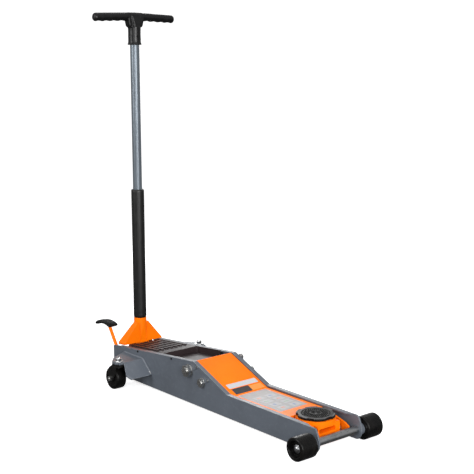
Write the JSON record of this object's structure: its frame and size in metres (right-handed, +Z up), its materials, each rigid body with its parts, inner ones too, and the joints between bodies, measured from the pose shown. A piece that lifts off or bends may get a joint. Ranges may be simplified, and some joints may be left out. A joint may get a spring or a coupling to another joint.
{
  "type": "trolley jack",
  "caption": "Long low garage floor jack with a lift arm and round saddle, swivel rear casters, tool tray, foot pedal and an upright T handle in a flared socket.",
  "frame": {"origin": "on the ground, under the middle of the jack's bounding box", "axes": "+X forward to the saddle, +Y to the operator's left, +Z up"},
  "size_m": [1.1771, 0.412, 1.2763],
  "materials": {
    "grey_paint": "semi-gloss powder coat",
    "orange_paint": "gloss enamel",
    "black_paint": "satin",
    "tube_paint": "metallic silver-grey",
    "steel": "zinc plated",
    "chrome": "bright",
    "iron": "as cast",
    "black_plastic": "satin moulded",
    "black_rubber": "matt"
  },
  "bodies": {
    "chassis": {"left_side_plate": "grey_paint", "right_side_plate": "grey_paint", "chassis_tie_plates": "grey_paint", "front_axle": "steel", "axle_caps": "chrome", "wheel_spacers": "grey_paint", "left_caster_wing": "grey_paint", "right_caster_wing": "grey_paint", "left_kingpin": "chrome", "right_kingpin": "chrome", "swivel_races": "black_paint", "deck_cover": "black_paint", "tool_tray": "black_paint", "deck_screws": "black_paint", "lift_pivot_shaft": "steel", "lift_pivot_nuts": "steel", "link_anchor_shaft": "steel", "link_anchor_nuts": "steel", "keeper_bolts": "steel", "pivot_spacers": "steel", "pump_block": "iron", "ram_cylinder": "iron", "oil_reservoir": "iron", "filler_plug": "steel", "socket_trunnions": "steel", "pedal_pivot": "steel"},
    "lift_arm": {"lift_arm_left_side": "orange_paint", "lift_arm_right_side": "orange_paint", "lift_arm_cover": "orange_paint", "lift_arm_hub": "black_paint", "lift_levers": "black_paint", "ram_roller": "steel", "yoke_pins": "steel"},
    "yoke": {"saddle_yoke": "orange_paint", "link_front_pin": "steel"},
    "saddle_plate": {"saddle": "black_paint", "saddle_pad": "black_rubber", "saddle_clip": "steel"},
    "links": {"level_links": "steel"},
    "ram": {"ram_rod": "chrome", "ram_crosshead": "steel"},
    "socket": {"handle_socket": "orange_paint", "pump_roller": "steel"},
    "handle": {"handle_tube": "tube_paint", "release_rod": "steel", "foam_sleeve": "black_rubber", "t_grip": "black_plastic", "grip_screw": "black_plastic"},
    "valve": {"release_valve": "steel"},
    "plunger": {"pump_plunger": "chrome"},
    "pedal": {"pedal_arm": "orange_paint", "pedal_pad": "black_rubber"},
    "left_front_roller": {"front_left_wheel": "black_plastic"},
    "right_front_roller": {"front_right_wheel": "black_plastic"},
    "left_swivel": {"left_caster_fork": "black_paint", "left_caster_bolt": "steel"},
    "right_swivel": {"right_caster_fork": "black_paint", "right_caster_bolt": "steel"},
    "left_caster_roller": {"left_caster_wheel": "black_plastic"},
    "right_caster_roller": {"right_caster_wheel": "black_plastic"}
  },
  "joints": [
    {"name": "lift", "type": "hinge", "parent": "chassis", "child": "lift_arm", "pos_m": [-0.03085, 0, 0.116], "axis": [0, -1, 0], "range_deg": [0, 55]},
    {"name": "saddle_level", "type": "hinge", "parent": "lift_arm", "child": "yoke", "pos_m": [0.43915, 0, 0.06], "axis": [0, 1, 0], "range_deg": [0, 55]},
    {"name": "saddle_turn", "type": "hinge", "parent": "yoke", "child": "saddle_plate", "pos_m": [0.46965, 0, 0.08], "axis": [0, 0, 1], "continuous": true},
    {"name": "link_swing", "type": "hinge", "parent": "chassis", "child": "links", "pos_m": [0.03915, 0, 0.091], "axis": [0, -1, 0], "range_deg": [0, 55]},
    {"name": "ram_stroke", "type": "slide", "parent": "chassis", "child": "ram", "axis": [1, 0, 0], "range_m": [0, 0.0745]},
    {"name": "handle_pump", "type": "hinge", "parent": "chassis", "child": "socket", "pos_m": [-0.43385, 0, 0.104], "axis": [0, -1, 0], "range_deg": [0, 50], "stiffness_Nm_per_rad": 22, "springref_deg": -11.46},
    {"name": "handle_twist", "type": "hinge", "parent": "socket", "child": "handle", "pos_m": [-0.43585, 0, 0.2], "axis": [0, 0, 1], "range_deg": [0, 60]},
    {"name": "valve_turn", "type": "hinge", "parent": "chassis", "child": "valve", "pos_m": [-0.43385, 0, 0.06], "axis": [0, 0, 1], "range_deg": [0, 60]},
    {"name": "plunger_stroke", "type": "slide", "parent": "chassis", "child": "plunger", "axis": [0, 0, 1], "range_m": [-0.0222, 0]},
    {"name": "foot_pedal", "type": "hinge", "parent": "chassis", "child": "pedal", "pos_m": [-0.45585, -0.076, 0.068], "axis": [0, -1, 0], "range_deg": [0, 25], "stiffness_Nm_per_rad": 3, "springref_deg": -17.19},
    {"name": "left_front_roll", "type": "hinge", "parent": "chassis", "child": "left_front_roller", "pos_m": [0.55415, 0.134, 0.0352], "axis": [0, 1, 0], "continuous": true},
    {"name": "right_front_roll", "type": "hinge", "parent": "chassis", "child": "right_front_roller", "pos_m": [0.55415, -0.134, 0.0352], "axis": [0, 1, 0], "continuous": true},
    {"name": "left_swivel_turn", "type": "hinge", "parent": "chassis", "child": "left_swivel", "pos_m": [-0.31685, 0.174, 0.085], "axis": [0, 0, 1], "continuous": true},
    {"name": "right_swivel_turn", "type": "hinge", "parent": "chassis", "child": "right_swivel", "pos_m": [-0.31685, -0.174, 0.085], "axis": [0, 0, 1], "continuous": true},
    {"name": "left_caster_roll", "type": "hinge", "parent": "left_swivel", "child": "left_caster_roller", "pos_m": [-0.33485, 0.174, 0.0385], "axis": [0, 1, 0], "continuous": true},
    {"name": "right_caster_roll", "type": "hinge", "parent": "right_swivel", "child": "right_caster_roller", "pos_m": [-0.33485, -0.174, 0.0385], "axis": [0, 1, 0], "continuous": true}
  ],
  "couplings": [
    {"joint": "saddle_level", "follows": "lift", "ratio": 1},
    {"joint": "link_swing", "follows": "lift", "ratio": 1},
    {"joint": "ram_stroke", "follows": "lift", "m_per_rad": 0.0769},
    {"joint": "plunger_stroke", "follows": "handle_pump", "m_per_rad": -0.02498},
    {"joint": "valve_turn", "follows": "handle_twist", "ratio": 1}
  ]
}
